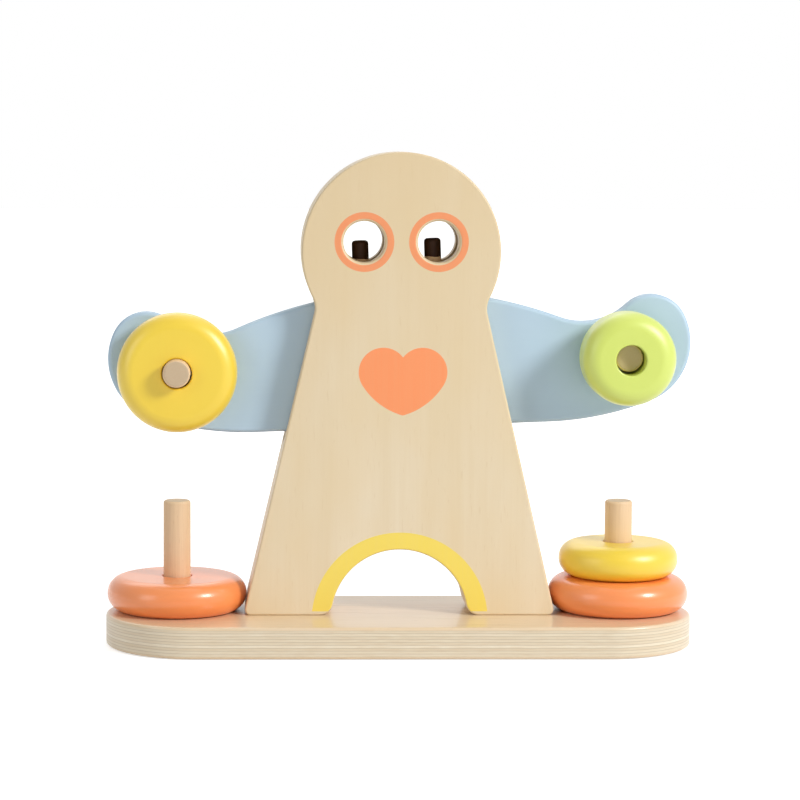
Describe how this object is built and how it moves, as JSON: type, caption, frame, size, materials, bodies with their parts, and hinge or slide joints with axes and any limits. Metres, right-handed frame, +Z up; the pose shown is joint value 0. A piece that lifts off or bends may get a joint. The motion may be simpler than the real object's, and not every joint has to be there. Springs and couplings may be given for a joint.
{
  "type": "weightlifter balance game",
  "caption": "Wooden weightlifter figure on a board: the arms are a tilting beam with pegs for bored weights, and pins on the beam move as pupils in the eye holes.",
  "frame": {"origin": "middle of the base board's underside, on the surface the game stands on", "axes": "+X along the board to the viewer's right, -Y to the front where the painted face is, +Z up"},
  "size_m": [0.2798, 0.088, 0.2348],
  "materials": {
    "natural_wood": "clear satin lacquer on pale wood; the base board shows its plywood edge",
    "beech": "bare turned dowel",
    "blue_paint": "light blue satin paint",
    "yellow_paint": "yellow gloss paint",
    "lime_paint": "lime green gloss paint",
    "orange_paint": "orange gloss paint",
    "dark_stain": "near-black paint on the upper end",
    "nylon": "moulded, matt",
    "steel": "zinc plated"
  },
  "bodies": {
    "stand": {"base_board": "natural_wood", "left_base_peg": "beech", "right_base_peg": "beech", "front_panel": "natural_wood", "back_panel": "natural_wood", "body_core": "natural_wood", "head_core": "natural_wood", "pivot_axle": "beech", "front_pivot_washer": "nylon", "rear_pivot_washer": "nylon", "base_screws": "steel"},
    "arm": {"arm_beam": "blue_paint", "left_arm_peg": "beech", "right_arm_peg": "beech", "left_pupil_pin": "dark_stain", "right_pupil_pin": "dark_stain"},
    "left_arm_weight": {"left_arm_weight": "yellow_paint"},
    "right_arm_weight": {"right_arm_weight": "lime_paint"},
    "left_base_weight": {"left_base_weight": "orange_paint"},
    "right_lower_weight": {"right_lower_weight": "orange_paint"},
    "right_upper_weight": {"right_upper_weight": "yellow_paint"}
  },
  "joints": [
    {"name": "arm_tilt", "type": "hinge", "parent": "stand", "child": "arm", "pos_m": [0, 0.0055, 0.145], "axis": [0, -1, 0], "range_deg": [-9.1, 4.9]},
    {"name": "left_arm_weight_slide", "type": "slide", "parent": "arm", "child": "left_arm_weight", "axis": [0, -1, 0], "range_m": [0, 0.03]},
    {"name": "right_arm_weight_slide", "type": "slide", "parent": "arm", "child": "right_arm_weight", "axis": [0, -1, 0], "range_m": [-0.0033, 0.0265]},
    {"name": "left_base_weight_lift", "type": "slide", "parent": "stand", "child": "left_base_weight", "axis": [0, 0, 1], "range_m": [0, 0.055]},
    {"name": "right_lower_weight_lift", "type": "slide", "parent": "stand", "child": "right_lower_weight", "axis": [0, 0, 1], "range_m": [0, 0.025]},
    {"name": "right_upper_weight_lift", "type": "slide", "parent": "right_lower_weight", "child": "right_upper_weight", "axis": [0, 0, 1], "range_m": [0, 0.037]}
  ]
}
